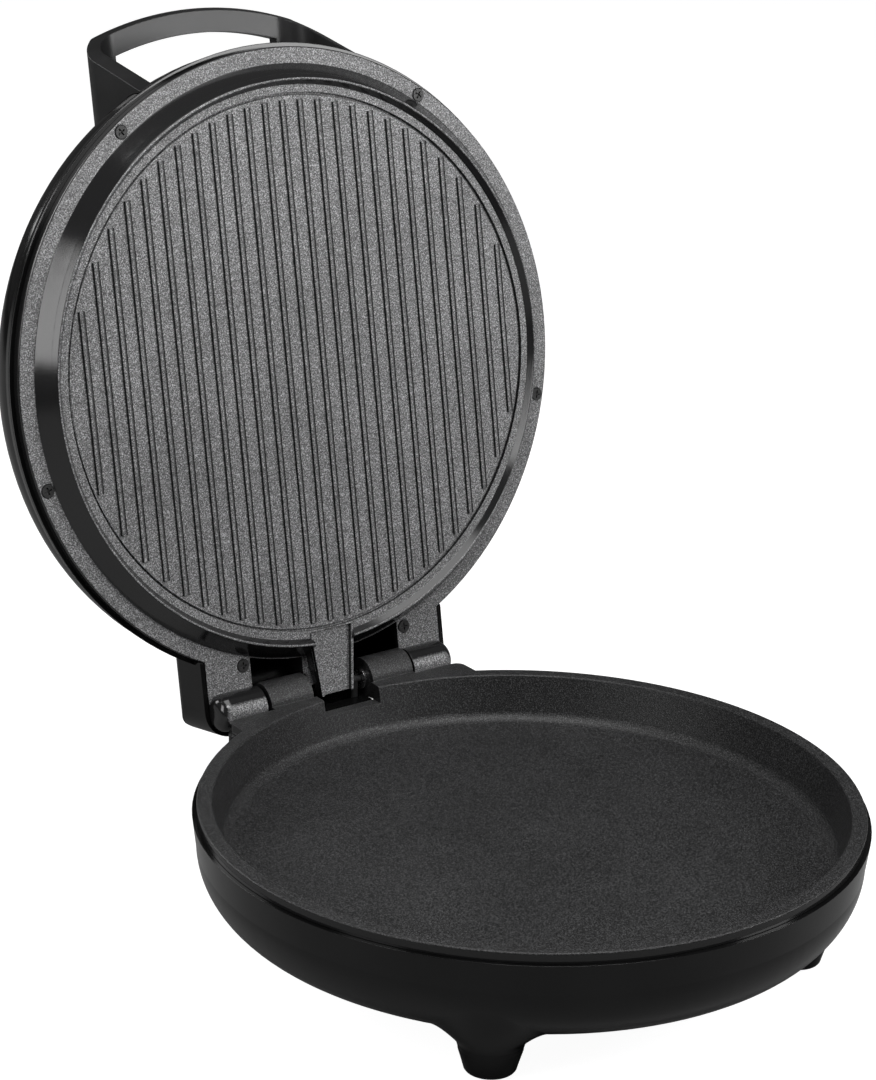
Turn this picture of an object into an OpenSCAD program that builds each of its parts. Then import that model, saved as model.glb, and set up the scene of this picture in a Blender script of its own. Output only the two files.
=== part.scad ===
// Round countertop cooker with a hinged lid, shown with the lid open on its stop.
// Every sub-part is drawn about the pan's centre with z = 0 on the table, then place() moves the whole
// object so that its origin lies under the middle of its bounding box. Lid parts are drawn in the lid's
// own frame: origin at the middle of the upper flange face, +z away from the food, +y towards the hinge.

/* [Plates] */
// Outer radius of both cooking plates
plate_r = 172; // [166:1:178]
// Height of the lower plate's rim above the table
rim_h = 80; // [78:1:90]
// Thickness of the cast plates
plate_t = 3; // [2.5:0.1:3.6]
// Depth of the edge skirt under both rims
skirt_h = 5.4; // [4.6:0.1:6]
// Wall of the edge skirt
skirt_t = 2.4; // [2:0.1:3]
// Width of the lower pan's flat rim
lower_rim_w = 8.3; // [7:0.1:9]
// Depth of the lower pan
pan_depth = 25; // [22:1:26]
// How far the pan's wall leans inwards on its way down
pan_lean = 6; // [4:0.5:8]
// Fillet between the pan's wall and floor
pan_fillet = 6; // [4:0.5:8]
// Width of the upper plate's flat flange
flange_w = 9.4; // [8.8:0.1:10]
// Height of the crest ring below the flange face
crest_h = 11.9; // [10.5:0.1:13]
// How far the crest ring lies inside the flange's inner edge
crest_inset = 7.8; // [7:0.1:9]
// Depth of the narrow strip inside the crest
strip_h = 8.3; // [8:0.1:9]
// How far the ribbed disc's edge lies inside the plate's edge
disc_inset = 25; // [23:0.5:28]
// Depth of the ribbed disc below the flange face
disc_h = 7; // [6:0.1:7.6]
// Width of the groove around the disc
groove_w = 1.2; // [0.8:0.1:1.6]
// Depth of the groove around the disc
groove_d = 1; // [0.6:0.1:1.4]

/* [Ribs] */
// Ribs on each side of the middle one
ribs_each_side = 12; // [8:1:12]
// Distance between two ribs
rib_pitch = 11.27; // [9:0.01:11.4]
// Width of one rib
rib_w = 2.4; // [1.6:0.1:3.2]
// Height of one rib
rib_h = 1.3; // [0.8:0.1:2]
// Bare edge left between a rib's end and the groove
rib_end_gap = 3.4; // [2:0.1:6]

/* [Tongue and notch] */
// Half width of the tongue where it leaves the crest
tongue_w1 = 14.3; // [12:0.1:15]
// Half width of the tongue at its tip
tongue_w2 = 10.4; // [8:0.1:11]
// How far the tongue reaches past the hinge axis
tongue_past_axis = 3.5; // [1:0.1:4]
// Height of the tongue's two side walls
tongue_wall_h = 2.4; // [1:0.1:2.8]
// Thickness of the tongue's two side walls
tongue_wall_t = 1.6; // [1.2:0.1:2.2]
// Half width of the notch in the lower rim
notch_w = 18.4; // [17:0.1:19]
// Depth of the notch in the lower rim
notch_d = 9.2; // [8.6:0.1:11]
// How far the base's sill reaches behind the lower ears, under the tongue
sill_out = 10.4; // [6:0.1:10.8]
// Gap beside the tongue, where the flange is cut away in front of the lower knuckles
tongue_gap = 1.4; // [1:0.1:2]

/* [Base housing] */
// How far both housings stand out past the plates
lip_out = 2.3; // [1.5:0.1:3]
// Height of the bowl below the rim
bowl_depth = 56; // [54:1:60]
// Radius of the bowl's rounded bottom edge
bowl_edge_r = 34; // [28:1:36]
// How far the bowl's upper wall leans inwards
bowl_draft = 2; // [1:0.5:4]
// Wall thickness of both housings
wall_t = 2.6; // [2:0.1:3.2]
// Half width of the block under the rear ears
block_w = 80; // [79:1:84]
// Height of that block
block_h = 42; // [36:1:44]
// Corner radius of that block
block_corner_r = 14; // [8:1:16]

/* [Feet] */
// How far a front foot's middle lies inside the plate's edge
foot_inset = 32; // [29:1:39]
// How much further from the middle the rear feet stand than the front ones
rear_foot_shift = 9; // [5:1:11]
// Radius of a foot at the table
foot_r1 = 13; // [11.5:0.5:14]
// Radius of a foot below its flare
foot_r2 = 17.2; // [15:0.1:18]
// Radius of a foot's flare at the bowl
foot_flare_r = 22; // [19:0.5:24]
// Height of a foot's flare
foot_flare_h = 8; // [6:0.5:10]
// Wall of a foot
foot_t = 2.5; // [2:0.1:3]
// Radius of a rubber pad
pad_r = 9; // [7:0.5:9.5]
// Thickness of a rubber pad
pad_t = 3; // [2:0.5:4]
// How far a pad stands out of its foot
pad_out = 0.8; // [0.5:0.1:1.5]

/* [Lid housing] */
// Radius of the lid's rounded edge
lid_edge_r = 36; // [30:1:38]
// Height of the lid's shoulder above the flange face, where the crown starts to bend
lid_shoulder = 13; // [11:0.5:16]
// Radius of the lid's almost flat crown
crown_r = 3000; // [2200:100:6000]
// How far the lid's side wall leans inwards
lid_draft = 1.8; // [1:0.1:3]
// Half width of the hinge cover
cover_w = 81; // [80.9:0.1:84]
// Height of the hinge cover above the flange face
cover_h = 32; // [28:1:36]
// Distance of the cover's back from the hinge axis
cover_past_axis = 15.2; // [15:0.1:18]
// Radius of the cover's upright rear corners
cover_corner_r = 16; // [12:1:17]
// Radius of the cover's other edges
cover_edge_r = 9; // [5:1:11]

/* [Handle] */
// Half width of the handle
handle_w = 75.5; // [68:0.5:78]
// Height of the handle above the flange face
handle_h = 80; // [76:1:88]
// Thickness of the handle's legs and grip
handle_t = 7.5; // [6:0.1:9]
// Outer corner radius of the handle
handle_corner_r = 23; // [16:1:26]
// How far the handle's leaning front would lie inside the plate's edge at the flange face
handle_inset = 1.9; // [-2:0.1:4]
// Distance of the handle's screws behind that front
handle_screw_inset = 39.1; // [36:0.1:42]
// Forward lean of the handle's front face, per unit of height
handle_lean = 0.317; // [0.2:0.001:0.4]
// Width of the grip, front to back
grip_d = 14.5; // [12:0.1:18]
// Rounding of the grip's upper edges
grip_edge_r = 3; // [1.5:0.1:3.5]

/* [Hinge] */
// Distance of the hinge axis behind the plates' edge
hinge_past_plate = 9.8; // [8:0.1:11]
// Height of the hinge axis above the lower rim (negative is below)
hinge_dz = -1.5; // [-2.5:0.1:-0.5]
// Gap between the two rims when the lid is shut
lid_gap = 2.4; // [2:0.1:3]
// How far the lid opens
open_angle = 100.4; // [95:0.1:104]
// Radius of the lower plate's knuckles
inner_knuckle_r = 11.5; // [10:0.1:12]
// Radius of the upper plate's knuckles
outer_knuckle_r = 10.6; // [9.5:0.1:11]
// Inner end of the lower plate's knuckles
inner_knuckle_x1 = 20; // [19.5:0.5:22]
// Outer end of the lower plate's knuckles
inner_knuckle_x2 = 47.5; // [44:0.5:48]
// Outer end of the upper plate's knuckles
outer_knuckle_x2 = 78; // [76:0.5:78]
// Side gap between two knuckles
knuckle_gap = 2; // [1:0.1:3]
// Rounding of the outer knuckles' ends
knuckle_end_r = 6.5; // [6:0.5:8]
// Radius of a hinge pin
pin_r = 4; // [3.5:0.1:4.6]
// Radial running clearance of a hinge pin
pin_clearance = 0.05; // [0.02:0.01:0.1]
// Radius of a hinge pin's head
pin_head_r = 6; // [5:0.1:7]
// Thickness of a hinge pin's head
pin_head_t = 1.4; // [1:0.1:1.4]
// Radius of the wire passage in the right pin
pin_hollow_r = 2.8; // [2.6:0.1:3]
// Half width of the rear ears
ear_w = 78; // [76:0.5:78]
// Distance from the hinge axis to the lower ears' back edge
ear_setback = 14.2; // [13:0.1:16]
// Rounding of the ears' corners
ear_corner_r = 5; // [2:0.5:8]

/* [Screws] */
// Radius of a visible screw's head
screw_head_r = 3.5; // [3:0.1:3.6]
// Height of a screw's head
screw_head_h = 1.8; // [1.2:0.1:2]
// Radius of a screw's shank
screw_r = 1.9; // [1.5:0.1:2]
// Length of a screw's shank
screw_len = 14; // [10:1:16]
// Radius of the round recess around a head
recess_r = 3.9; // [3.9:0.05:4]
// Depth of that recess
recess_d = 1.3; // [0.8:0.1:1.6]
// Radius of a screw boss
boss_r = 4.7; // [4.2:0.1:5]
// How far the upper flange screws lie inside the plate's edge
flange_screw_inset = 5; // [4.8:0.1:5.1]
// Angle of the two front flange screws, from the front
flange_screw_a1 = 34.9; // [28:0.1:40]
// Angle of the two rear flange screws, from the front
flange_screw_a2 = 104.8; // [98:0.1:112]
// Half the distance between the two ear screws
ear_screw_x = 54.2; // [53:0.1:58]
// Distance of the ear screws in front of the hinge axis
ear_screw_dy = 22.2; // [21:0.1:24]

/* [Heating] */
// How far the heating ring lies inside the ribbed disc's edge
ring_inset = 52; // [47:1:59]
// Radius of the heating tube
tube_r = 3.5; // [3:0.1:4]
// Angle left open between the heating ring's two ends
ring_gap_a = 50; // [40:1:60]
// Length of the ring's bare ends
ring_tail = 22; // [16:1:26]
// Width of a clamp strap
strap_w = 10; // [8:1:14]
// Thickness of a clamp strap
strap_t = 1.5; // [1:0.1:2]
// Number of clamp straps on each ring
strap_n = 3; // [3:1:4]
// How far the bosses that hold a reflector lie inside the ribbed disc's edge
post_inset = 25; // [23:1:29]
// Radius of one of these bosses
post_r = 5; // [4.5:0.1:6]
// Distance from a plate's back to its reflector
reflector_drop = 14; // [13:0.5:15]
// Thickness of a reflector
reflector_t = 0.6; // [0.5:0.1:1]
// How far a reflector's edge lies inside the ribbed disc's edge
reflector_inset = 9; // [7:1:15]
// Height of a reflector's turned-up rim
reflector_rim_h = 8; // [5:1:9]
// Radius of a thermostat
thermostat_r = 9; // [8:0.5:10]
// Height of a thermostat
thermostat_h = 8; // [6:0.5:9]
// Length of the thermal fuse's sleeve
fuse_len = 34; // [28:1:40]
// Radius of the thermal fuse's sleeve
fuse_r = 3; // [2.5:0.1:3.5]

/* [Wiring and lights] */
// Radius of a bundle of leads
lead_r = 1.8; // [1.5:0.1:2.4]
// Length of a terminal block
block_len = 30; // [26:1:34]
// Radius of the mains cord's hole
inlet_r = 6; // [5:0.1:7]
// Wall of the bush in that hole
bush_t = 2; // [1.5:0.1:2.4]
// Direction of the mains cord's hole, from the right side towards the back
inlet_a = 50; // [42:1:56]
// Radius of a light's lens
lens_r = 4; // [3:0.1:5]
// Half the distance between the two lights
light_x = 12; // [9:0.5:16]
// How far the lights lie inside the ribbed disc's edge
light_inset = 43; // [37:1:51]
// Radius of a lamp
lamp_r = 2.4; // [2:0.1:2.6]

/* [Clearances] */
// Gap between seated faces of two pieces
seat_gap = 0.1; // [0.05:0.05:0.2]
// Gap between a screw's shank and its clearance hole
screw_gap = 0.15; // [0.1:0.05:0.3]
// Gap between a screw's shank and the hole that its thread bites into
thread_gap = 0.05; // [0.05:0.01:0.1]
// Gap between a plate's edge and its housing
edge_gap = 0.3; // [0.2:0.1:0.5]
// Gap at the lid's open stop
stop_gap = 0.3; // [0.2:0.1:0.5]
// Room around a moving knuckle
knuckle_room = 0.8; // [0.5:0.1:1]

/* [Hidden] */

// Far enough past any piece to cut right through it
far = 400;
// Overlap that keeps joined volumes of one piece from only touching
weld = 0.2;

rim_in_r = plate_r - lower_rim_w;
disc_r = plate_r - disc_inset;
hinge_y = plate_r + hinge_past_plate;
handle_front_r = plate_r - handle_inset;
flange_screw_r = plate_r - flange_screw_inset;
foot_x = (plate_r - foot_inset) * sqrt(0.5);
foot_front_y = foot_x;
foot_rear_y = foot_front_y + rear_foot_shift;
ring_r = disc_r - ring_inset;
post_circle_r = disc_r - post_inset;
reflector_r = disc_r - reflector_inset;
light_y = disc_r - light_inset;
// Where the rear blocks and ears start, inside the round bodies
root_y = disc_r - 52;
pan_floor_z = rim_h - pan_depth;
pan_back_z = pan_floor_z - plate_t;
lean_a = atan(pan_lean / pan_depth);
floor_r = rim_in_r - pan_lean - pan_fillet / tan((90 + lean_a) / 2);

flange_in_r = plate_r - flange_w;
crest_r = flange_in_r - crest_inset;
disc_back_z = -(disc_h - plate_t);

lip_r = plate_r + lip_out;
ledge_z = skirt_h + seat_gap;
ledge_in_r = plate_r - skirt_t - 2;
ledge_t = 2.4;
bowl_z = rim_h - bowl_depth;
bowl_edge_x = lip_r - bowl_draft - bowl_edge_r;
lid_edge_x = lip_r - lid_draft - lid_edge_r;
crown_z = lid_shoulder - sqrt((crown_r - lid_edge_r) ^ 2 - lid_edge_x ^ 2);
crown_a = atan(lid_edge_x / (lid_shoulder - crown_z));

hinge_z = rim_h + hinge_dz;
// Height of the upper flange face above the hinge axis, with the lid shut
flange_above_axis = lid_gap - hinge_dz;
axis_z = -flange_above_axis;
outer_knuckle_x1 = inner_knuckle_x2 + knuckle_gap;
ear_y = hinge_y - ear_setback;
cover_y = hinge_y + cover_past_axis;
pin_x1 = inner_knuckle_x1 - knuckle_gap / 10;
pin_x2 = outer_knuckle_x2 - knuckle_end_r - 3;
stop_x = (outer_knuckle_x1 + outer_knuckle_x2) / 2 - 2;
stop_w = 8;
stop_low_z = -6;

ring_z = tube_r + seat_gap;
strap_z = 2 * (tube_r + seat_gap);
strap_step = 360 / strap_n;
strap_boss_r = ring_r - tube_r - 7;
clamp_screw_len = 6;
harness_x = (tongue_w2 + inner_knuckle_x1) / 2;
harness_z = hinge_z - 16.5;
harness_y = plate_r - skirt_t - 4;
web_z = rim_h - 10.5;
rear_open_z = min(web_z, rim_h - notch_d - plate_t) - 0.4;
meet_x = inner_knuckle_x2 + knuckle_gap / 2;
lead_turn_x = pin_x2 + lead_r + 0.8;

// Where the hinge axis, the open lid and the foremost point of the bowl put the bounding box
open_rear_y = hinge_y + (handle_front_r + handle_lean * handle_h - grip_edge_r + hinge_y) * -cos(open_angle)
    + (handle_h - grip_edge_r + flange_above_axis) * sin(open_angle) + grip_edge_r;
frame_y = (open_rear_y - lip_r) / 2;

housing_colour = [0.09, 0.09, 0.095];
plate_colour = [0.24, 0.24, 0.25];
steel_colour = [0.72, 0.73, 0.74];
rubber_colour = [0.06, 0.06, 0.06];

function arc(x, y, r, a0, a1, n = 8) = [for (i = [0 : n]) let (a = a0 + (a1 - a0) * i / n)
    [x + r * cos(a), y + r * sin(a)]];

// Moves everything so that the origin is under the middle of the bounding box
module place() translate([0, -frame_y, 0]) children();

// Puts a lid part, drawn in the lid's frame, where the open lid is
module lid_place()
    place() translate([0, hinge_y, hinge_z]) rotate([-open_angle, 0, 0])
        translate([0, -hinge_y, flange_above_axis]) children();

module both_sides() for (s = [-1, 1]) scale_x(s) children();
module scale_x(s) mirror([s < 0 ? 1 : 0, 0, 0]) children();

module bar_x(x1, x2, r) translate([x1, 0, 0]) rotate([0, 90, 0]) cylinder(h = x2 - x1, r = r, $fn = 72);

// A round lead that runs through a list of points
module lead(points, r = lead_r) {
    for (i = [0 : len(points) - 2]) {
        d = points[i + 1] - points[i];
        translate(points[i]) rotate([0, acos(d[2] / norm(d)), atan2(d[1], d[0])])
            cylinder(h = norm(d), r = r, $fn = 24);
    }
    for (i = [1 : len(points) - 2]) translate(points[i]) sphere(r = r + 0.4, $fn = 24);
}

// A pan-head screw whose head sits on z = 0 and whose shank runs down
module screw(head_r = screw_head_r, len = screw_len) {
    difference() {
        cylinder(h = screw_head_h, r = head_r, $fn = 48);
        for (a = [0, 90]) rotate([0, 0, a]) translate([-head_r * 0.62, -0.45, screw_head_h * 0.45])
            cube([head_r * 1.24, 0.9, screw_head_h]);
    }
    translate([0, 0, -len]) cylinder(h = len + weld, r = screw_r, $fn = 32);
}

// A box with rounded corners: x from -w to w, y from y1 to y2, z from z1 to z2
module rounded_block(w, y1, y2, z1, z2, plan_r, edge_r, top_round) {
    intersection() {
        translate([0, 0, z1]) linear_extrude(z2 - z1) round_end_2d(w, y1, y2, plan_r);
        translate([0, y2, 0]) rotate([90, 0, 0]) linear_extrude(y2 - y1)
            edge_2d(w, z1, z2, edge_r, top_round);
        translate([-w, 0, 0]) rotate([90, 0, 90]) linear_extrude(2 * w)
            edge_half_2d(y1, y2, z1, z2, edge_r, top_round);
    }
}
module round_end_2d(w, y1, y2, r) {
    translate([-w, y1]) square([2 * w, y2 - r - y1]);
    translate([r - w, y1]) square([2 * (w - r), y2 - y1]);
    for (s = [-1, 1]) translate([s * (w - r), y2 - r]) circle(r = r, $fn = 72);
}
module edge_2d(w, z1, z2, r, top_round) {
    translate([-w, top_round ? z1 : z1 + r]) square([2 * w, z2 - z1 - r]);
    translate([r - w, z1]) square([2 * (w - r), z2 - z1]);
    for (s = [-1, 1]) translate([s * (w - r), top_round ? z2 - r : z1 + r]) circle(r = r, $fn = 72);
}
module edge_half_2d(y1, y2, z1, z2, r, top_round) {
    translate([y1, top_round ? z1 : z1 + r]) square([y2 - y1, z2 - z1 - r]);
    translate([y1, z1]) square([y2 - y1 - r, z2 - z1]);
    translate([y2 - r, top_round ? z2 - r : z1 + r]) circle(r = r, $fn = 72);
}

// Bowl of the base: half section, drawn t inside the outer skin
module bowl_2d(t) {
    polygon([[0, bowl_z + t], [bowl_edge_x, bowl_z + t], [bowl_edge_x, bowl_z + bowl_edge_r],
        [lip_r - bowl_draft - t, bowl_z + bowl_edge_r], [lip_r - t, rim_h - ledge_z],
        [0, rim_h - ledge_z]]);
    intersection() {
        translate([bowl_edge_x, bowl_z + bowl_edge_r]) circle(r = bowl_edge_r - t, $fn = 180);
        translate([bowl_edge_x - 1, bowl_z - 1]) square([bowl_edge_r + 2, bowl_edge_r + 1.01]);
    }
}
module bowl(t) rotate_extrude($fn = 180) bowl_2d(t);
module base_block(t) rounded_block(block_w - t, root_y, ear_y + lip_out / 2 - t, rim_h - block_h + t,
    rim_h - ledge_z, block_corner_r / 2, block_corner_r - t, false);

module at_feet() for (s = [-1, 1], y = [-foot_front_y, foot_rear_y]) translate([s * foot_x, y, 0]) children();
module at_posts() for (a = [0 : 90 : 359]) rotate([0, 0, a]) translate([post_circle_r, 0, 0]) children();
module at_straps() for (i = [0 : strap_n - 1]) rotate([0, 0, 30 + i * strap_step]) children();

foot_top = bowl_z + 26;
foot_flare_z = bowl_z + 1 - foot_flare_h;
module foot_outer() rotate_extrude($fn = 72) polygon(concat(
    [[0, pad_out], [foot_r1 - 1.5, pad_out]], arc(foot_r1 - 1.5, pad_out + 1.5, 1.5, -90, 0, 4),
    [for (i = [0 : 8]) let (a = i * 90 / 8) [foot_flare_r - (foot_flare_r - foot_r2) * cos(a),
        foot_flare_z + foot_flare_h * sin(a)]],
    [for (i = [1 : 8]) let (a = i * 90 / 8) [foot_r2 + (foot_flare_r - foot_r2) * cos(a),
        foot_flare_z + foot_flare_h + 14 * sin(a)]],
    [[foot_r2, foot_top], [0, foot_top]]));
module foot_inner() translate([0, 0, pad_t + foot_t])
    cylinder(h = bowl_z + wall_t + 1 - pad_t - foot_t, r1 = foot_r1 - foot_t, r2 = foot_r2 - foot_t, $fn = 72);

inlet_z = bowl_z + bowl_edge_r - 8;
module at_inlet() rotate([0, 0, inlet_a]) translate([lip_r - bowl_draft, 0, inlet_z]) rotate([0, 90, 0]) children();
post_end_z = pan_back_z - reflector_drop;
standoff_top_z = post_end_z - reflector_t - 2 * seat_gap;

// Sill that closes the space behind the notch
sill_z = rim_h - notch_d - 0.6;
module sill() translate([-notch_w, 0, 0]) rotate([90, 0, 90]) linear_extrude(2 * notch_w)
    polygon([[ear_y + 0.1, sill_z - 14], [ear_y + sill_out - 6, sill_z - 14], [ear_y + sill_out, sill_z - 6],
        [ear_y + sill_out, sill_z - 1], [ear_y + sill_out - 1, sill_z], [ear_y + 0.1, sill_z]]);

// Stop on the base, drawn in the lid's frame so that it meets the lid's tabs squarely
module stop_pads() both_sides() translate([stop_x - stop_w / 2 - 1, cover_y - 3.6, stop_low_z - stop_gap - 12])
    cube([stop_w + 2, 6.6, 12]);

module base_housing() color(housing_colour) place() difference() {
    union() {
        difference() {
            union() {
                bowl(0);
                base_block(0);
                at_feet() foot_outer();
                at_inlet() translate([0, 0, -8]) cylinder(h = 8.3, r = inlet_r + 3.4, $fn = 60);
            }
            bowl(wall_t);
            base_block(wall_t);
        }
        sill();
        // ledge under the plate's skirt
        rotate_extrude($fn = 180) translate([ledge_in_r, rim_h - ledge_z - ledge_t])
            square([lip_r - 0.4 - ledge_in_r, ledge_t]);
        at_posts() translate([0, 0, bowl_z + wall_t / 2])
            cylinder(h = standoff_top_z - bowl_z - wall_t / 2, r = post_r + 1, $fn = 48);
        intersection() {
            translate([0, hinge_y, hinge_z]) rotate([-open_angle, 0, 0])
                translate([0, -hinge_y, flange_above_axis]) stop_pads();
            translate([-block_w, ear_y - 1, 0]) cube([2 * block_w, far, rim_h]);
        }
    }
    // room for the lower plate's webs, knuckles and notch
    both_sides() translate([notch_w + 0.5, rim_in_r - 24, rear_open_z])
        cube([inner_knuckle_x2 + 0.1 - notch_w, far, far]);
    translate([-notch_w - 0.6, rim_in_r - 24, rear_open_z]) cube([2 * notch_w + 1.2, ear_y + 0.4 - rim_in_r + 24, far]);
    translate([-notch_w - 0.6, rim_in_r - 24, sill_z]) cube([2 * notch_w + 1.2, far, far]);
    at_feet() foot_inner();
    at_feet() translate([0, 0, -1]) cylinder(h = pad_t + 1, r = pad_r + seat_gap, $fn = 48);
    at_posts() translate([0, 0, bowl_z - 1]) cylinder(h = far, r = screw_r + screw_gap, $fn = 32);
    at_posts() translate([0, 0, bowl_z - 1]) cylinder(h = 5, r = screw_head_r + 0.5, $fn = 48);
    at_inlet() translate([0, 0, -20]) cylinder(h = 40, r = inlet_r, $fn = 48);
    translate([harness_x, ear_y - 12, harness_z]) rotate([-90, 0, 0]) cylinder(h = 30, r = lead_r + 0.7, $fn = 36);
}

module foot_pads() color(rubber_colour) place() at_feet() {
    cylinder(h = pad_t - seat_gap, r = pad_r, $fn = 48);
}

module inlet_bush() color(rubber_colour) place() at_inlet() difference() {
    union() {
        translate([0, 0, -10]) cylinder(h = 12, r = inlet_r - seat_gap, $fn = 48);
        translate([0, 0, 0.3 + seat_gap]) cylinder(h = 1.8, r = inlet_r + 2, $fn = 48);
    }
    translate([0, 0, -11]) cylinder(h = 20, r = inlet_r - bush_t, $fn = 48);
}

// Half section of the pan with its rim and skirt
module lower_plate_2d() polygon(concat(
    [[0, pan_back_z], [0, pan_floor_z]],
    arc(floor_r, pan_floor_z + pan_fillet, pan_fillet, -90, -lean_a, 8),
    arc(rim_in_r + 1, rim_h - 1, 1, 180 - lean_a, 90, 4),
    arc(plate_r - 1, rim_h - 1, 1, 90, 0, 4),
    [[plate_r, rim_h - skirt_h], [plate_r - skirt_t, rim_h - skirt_h], [plate_r - skirt_t, rim_h - plate_t],
        [rim_in_r + plate_t, rim_h - plate_t]],
    arc(floor_r, pan_floor_z + pan_fillet, pan_fillet + plate_t, -lean_a, -90, 8)));

module ears_2d(y_end) difference() {
    union() {
        translate([-ear_w, root_y]) square([2 * ear_w, y_end - ear_corner_r - root_y]);
        translate([ear_corner_r - ear_w, root_y]) square([2 * (ear_w - ear_corner_r), y_end - root_y]);
        for (s = [-1, 1]) translate([s * (ear_w - ear_corner_r), y_end - ear_corner_r])
            circle(r = ear_corner_r, $fn = 48);
    }
    circle(r = plate_r - 1.2, $fn = 180);
}

// Block that carries the notch, its front face inside the pan's wall
module notch_block() difference() {
    translate([-inner_knuckle_x1 - 1, rim_in_r - 8, rim_h - notch_d - plate_t])
        cube([2 * inner_knuckle_x1 + 2, ear_y - rim_in_r + 8, notch_d + plate_t]);
    translate([0, 0, pan_floor_z]) cylinder(h = pan_depth * 1.2, r1 = rim_in_r - pan_lean + 0.8,
        r2 = rim_in_r + pan_lean * 0.2 + 0.8, $fn = 180);
}

module lower_plate() color(plate_colour) place() difference() {
    union() {
        rotate_extrude($fn = 180) lower_plate_2d();
        translate([0, 0, rim_h - skirt_h]) linear_extrude(skirt_h) ears_2d(ear_y);
        notch_block();
        both_sides() {
            translate([0, hinge_y, hinge_z]) bar_x(inner_knuckle_x1, inner_knuckle_x2, inner_knuckle_r);
            translate([inner_knuckle_x1, ear_y - 3, web_z])
                cube([inner_knuckle_x2 - inner_knuckle_x1, hinge_y - ear_y + 3, rim_h - web_z]);
        }
        at_posts() translate([0, 0, post_end_z]) cylinder(h = reflector_drop + weld, r = post_r, $fn = 48);
        at_straps() translate([strap_boss_r, 0, pan_back_z - strap_z + seat_gap])
            cylinder(h = strap_z, r = 4.4, $fn = 40);
    }
    translate([-notch_w, rim_in_r - 12, rim_h - notch_d]) cube([2 * notch_w, far, notch_d + 1]);
    translate([0, hinge_y, hinge_z]) both_sides()
        bar_x(inner_knuckle_x1 - 1, inner_knuckle_x2 + 1, pin_r + pin_clearance);
    at_posts() translate([0, 0, post_end_z - 1]) cylinder(h = 13, r = screw_r + thread_gap, $fn = 32);
    at_straps() translate([strap_boss_r, 0, pan_back_z - strap_z - 1]) cylinder(h = clamp_screw_len + 1.5,
        r = screw_r + thread_gap, $fn = 32);
}

module base_screws() color(steel_colour) place() at_posts()
    translate([0, 0, bowl_z + 4 - seat_gap]) rotate([180, 0, 0]) screw(len = post_end_z - bowl_z + 6);

// Heating ring on the back of a plate whose back lies at z = 0, with z growing away from the food
module element() {
    rotate([0, 0, 90 + ring_gap_a / 2]) rotate_extrude(angle = 360 - ring_gap_a, $fn = 144)
        translate([ring_r, 0]) circle(r = tube_r, $fn = 32);
    for (s = [-1, 1]) rotate([0, 0, 90 + s * ring_gap_a / 2]) translate([ring_r, 0, 0]) {
        sphere(r = tube_r, $fn = 32);
        rotate([0, -90, 0]) cylinder(h = ring_tail, r = tube_r, $fn = 32);
        rotate([0, -90, 0]) translate([0, 0, ring_tail - weld]) cylinder(h = 7, r = 1.2, $fn = 24);
    }
}
module element_clamps() at_straps() difference() {
    translate([strap_boss_r - 5, -strap_w / 2, strap_z]) cube([ring_r + tube_r - strap_boss_r + 7, strap_w, strap_t]);
    translate([strap_boss_r, 0, 0]) cylinder(h = 20, r = screw_r + screw_gap, $fn = 32);
}
module clamp_screws() at_straps() translate([strap_boss_r, 0, strap_z + strap_t + seat_gap])
    screw(len = clamp_screw_len);

// Dish with holes for its posts, its flat at z = reflector_drop
module reflector(hole_r) difference() {
    rotate_extrude($fn = 144) polygon([[16, reflector_drop + seat_gap], [reflector_r, reflector_drop + seat_gap],
        [reflector_r + 3, reflector_drop + seat_gap - reflector_rim_h],
        [reflector_r + 3 + reflector_t, reflector_drop + seat_gap - reflector_rim_h],
        [reflector_r + reflector_t, reflector_drop + seat_gap + reflector_t],
        [16, reflector_drop + seat_gap + reflector_t]]);
    at_posts() cylinder(h = far, r = hole_r, $fn = 36);
}
module thermostat() translate([-30, 24, seat_gap]) {
    cylinder(h = thermostat_h, r = thermostat_r, $fn = 60);
    cylinder(h = 1.2, r = thermostat_r + 3, $fn = 60);
    for (x = [-4, 3.2]) translate([x, -3, thermostat_h - weld]) cube([0.8, 6, 3.5]);
}

// Turns a piece drawn on the back of a plate over, for the lower plate
module on_pan_back() place() translate([0, 0, pan_back_z]) mirror([0, 0, 1]) children();
module on_disc_back() lid_place() translate([0, 0, disc_back_z]) children();

module lower_element() color(steel_colour) on_pan_back() translate([0, 0, ring_z]) element();
module upper_element() color(steel_colour) on_disc_back() translate([0, 0, ring_z]) element();
module lower_element_clamps() color(steel_colour) on_pan_back() element_clamps();
module upper_element_clamps() color(steel_colour) on_disc_back() element_clamps();
module lower_clamp_screws() color(steel_colour) on_pan_back() clamp_screws();
module upper_clamp_screws() color(steel_colour) on_disc_back() clamp_screws();
module lower_reflector() color(steel_colour) on_pan_back() reflector(screw_r + screw_gap);
module upper_reflector() color(steel_colour) on_disc_back() reflector(screw_r + screw_gap);
module lower_thermostat() color("lightgrey") on_pan_back() thermostat();
module upper_thermostat() color("lightgrey") on_disc_back() thermostat();
module lower_thermal_fuse() color("white") on_pan_back() translate([-fuse_len / 2, 50, fuse_r + seat_gap])
    bar_x(0, fuse_len, fuse_r);

base_block_at = [disc_r - 95, root_y + 1, bowl_z + wall_t + seat_gap];
module terminal_block() for (i = [0 : 2]) translate([i * block_len / 3, 0, 0]) {
    difference() {
        cube([block_len / 3 + (i < 2 ? weld : 0), 16, 9]);
        translate([block_len / 6, 4, 4]) cylinder(h = 9, r = 2, $fn = 24);
        translate([block_len / 6, 12, 4]) cylinder(h = 9, r = 2, $fn = 24);
    }
}
module base_terminal_block() color("ivory") place() translate(base_block_at) terminal_block();

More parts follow.
